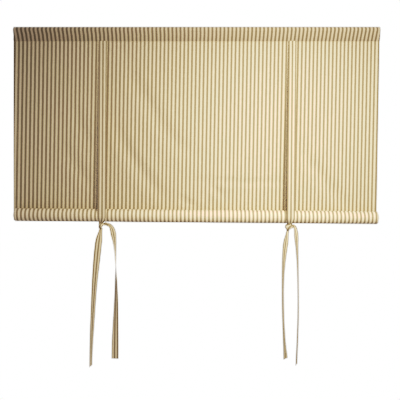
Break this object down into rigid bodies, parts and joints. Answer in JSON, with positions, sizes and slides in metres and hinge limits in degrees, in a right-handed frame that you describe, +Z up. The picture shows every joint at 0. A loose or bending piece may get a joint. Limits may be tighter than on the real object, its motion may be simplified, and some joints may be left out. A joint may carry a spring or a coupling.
{
  "type": "tie-up roll blind",
  "caption": "Flat striped cloth blind on a round head rail in a sewn pocket, its lower end rolled up round a light rod and slung in knotted cloth tapes.",
  "frame": {"origin": "middle of the four wall screw holes, on the wall plane", "axes": "+X along the blind, +Y into the wall, +Z up; the front of the blind faces -Y"},
  "size_m": [1, 0.0491, 0.9353],
  "materials": {
    "ticking_cloth": "woven cotton ticking, narrow cream and taupe stripes",
    "ticking_tape": "folded and stitched cotton ticking",
    "rail_steel": "white powder coat",
    "bracket_steel": "white powder coat",
    "rod_aluminium": "drawn tube",
    "plug_plastic": "moulded white"
  },
  "bodies": {
    "rail": {"wall_bracket_left": "bracket_steel", "wall_bracket_right": "bracket_steel", "head_rail": "rail_steel", "rail_plug_left": "plug_plastic", "rail_plug_right": "plug_plastic", "cloth_drop": "ticking_cloth", "front_tape_left": "ticking_tape", "front_tape_right": "ticking_tape", "back_tape_left": "ticking_tape", "back_tape_right": "ticking_tape"},
    "sling": {"knot_left": "ticking_tape", "knot_right": "ticking_tape", "outer_tail_left": "ticking_tape", "inner_tail_left": "ticking_tape", "inner_tail_right": "ticking_tape", "outer_tail_right": "ticking_tape"},
    "roll": {"cloth_roll": "ticking_cloth", "bottom_rod": "rod_aluminium", "rod_plug_left": "plug_plastic", "rod_plug_right": "plug_plastic"}
  },
  "joints": [
    {"name": "raise", "type": "slide", "parent": "rail", "child": "sling", "axis": [0, 0, 1], "range_m": [-0.3, 0.22], "deforming": ["cloth_drop", "front_tape_left", "front_tape_right", "back_tape_left", "back_tape_right"]},
    {"name": "roll_turn", "type": "hinge", "parent": "sling", "child": "roll", "pos_m": [0, -0.03, -0.5145], "axis": [1, 0, -0.0084], "range_deg": [-716, 976]}
  ],
  "couplings": [
    {"joint": "roll_turn", "follows": "raise", "rad_per_m": -56.768}
  ]
}
